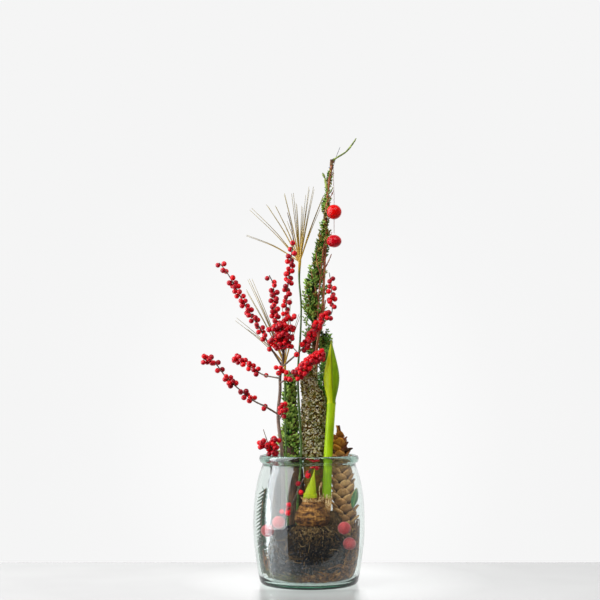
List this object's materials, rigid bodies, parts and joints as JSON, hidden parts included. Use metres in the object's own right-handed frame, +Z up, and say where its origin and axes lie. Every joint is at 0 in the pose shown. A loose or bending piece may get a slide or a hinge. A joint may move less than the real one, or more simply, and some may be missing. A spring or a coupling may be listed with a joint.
{
  "type": "winter arrangement in a glass jar",
  "caption": "Winter arrangement in a round glass jar: red-berried holly branch, amaryllis bulb with closed bud, conifer twigs, lichen-covered stick, cone, dry needle fans and red baubles.",
  "frame": {"origin": "centre of the underside of the jar's base", "axes": "+Z up along the jar's axis, -Y towards the front with the bulb and the bud, +X to the right seen from the front"},
  "size_m": [0.2429, 0.1692, 0.6833],
  "materials": {
    "glass": "clear, faintly green, glossy",
    "soil": "dark crumbly potting soil, matte",
    "straw": "dry straw and wood fibre, matte",
    "amaryllis": "yellow-green satin stem and bud, brown papery bulb skin",
    "cone": "tan-brown scales, satin",
    "lichen_bark": "bark with grey-beige lichen, matte",
    "bark": "dark brown bark, matte",
    "conifer": "mid-green to dark green needles, satin",
    "holly": "glossy red berries on grey-brown twigs",
    "needle_gold": "dry golden-olive needles, satin",
    "leaf": "dark green leaf, satin",
    "bauble_matte": "matte crimson",
    "bauble_gloss": "glossy red lacquer",
    "thread": "thin grey-brown thread",
    "wire": "thin grey binding wire"
  },
  "bodies": {
    "root": {"glass_jar": "glass", "soil_root_ball": "soil", "straw_nest": "straw", "amaryllis_plant": "amaryllis", "spruce_cone": "cone", "lichen_stick": "lichen_bark", "bark_piece": "bark", "conifer_column": "conifer", "conifer_spire": "conifer", "conifer_back_sprig": "conifer", "needle_fan_tall": "needle_gold", "needle_fan_low": "needle_gold", "holly_branch": "holly", "holly_sprig_at_rim": "holly", "holly_sprig_in_jar": "holly", "fir_sprig": "conifer", "green_leaf": "leaf", "bauble_in_jar_right_upper": "bauble_matte", "bauble_in_jar_right_lower": "bauble_matte", "bauble_in_jar_left_front": "bauble_matte", "bauble_in_jar_left_back": "bauble_matte", "bauble_thread": "thread", "bauble_hanging_upper": "bauble_gloss", "bauble_hanging_lower": "bauble_gloss", "binding_wire": "wire"}
  },
  "joints": []
}
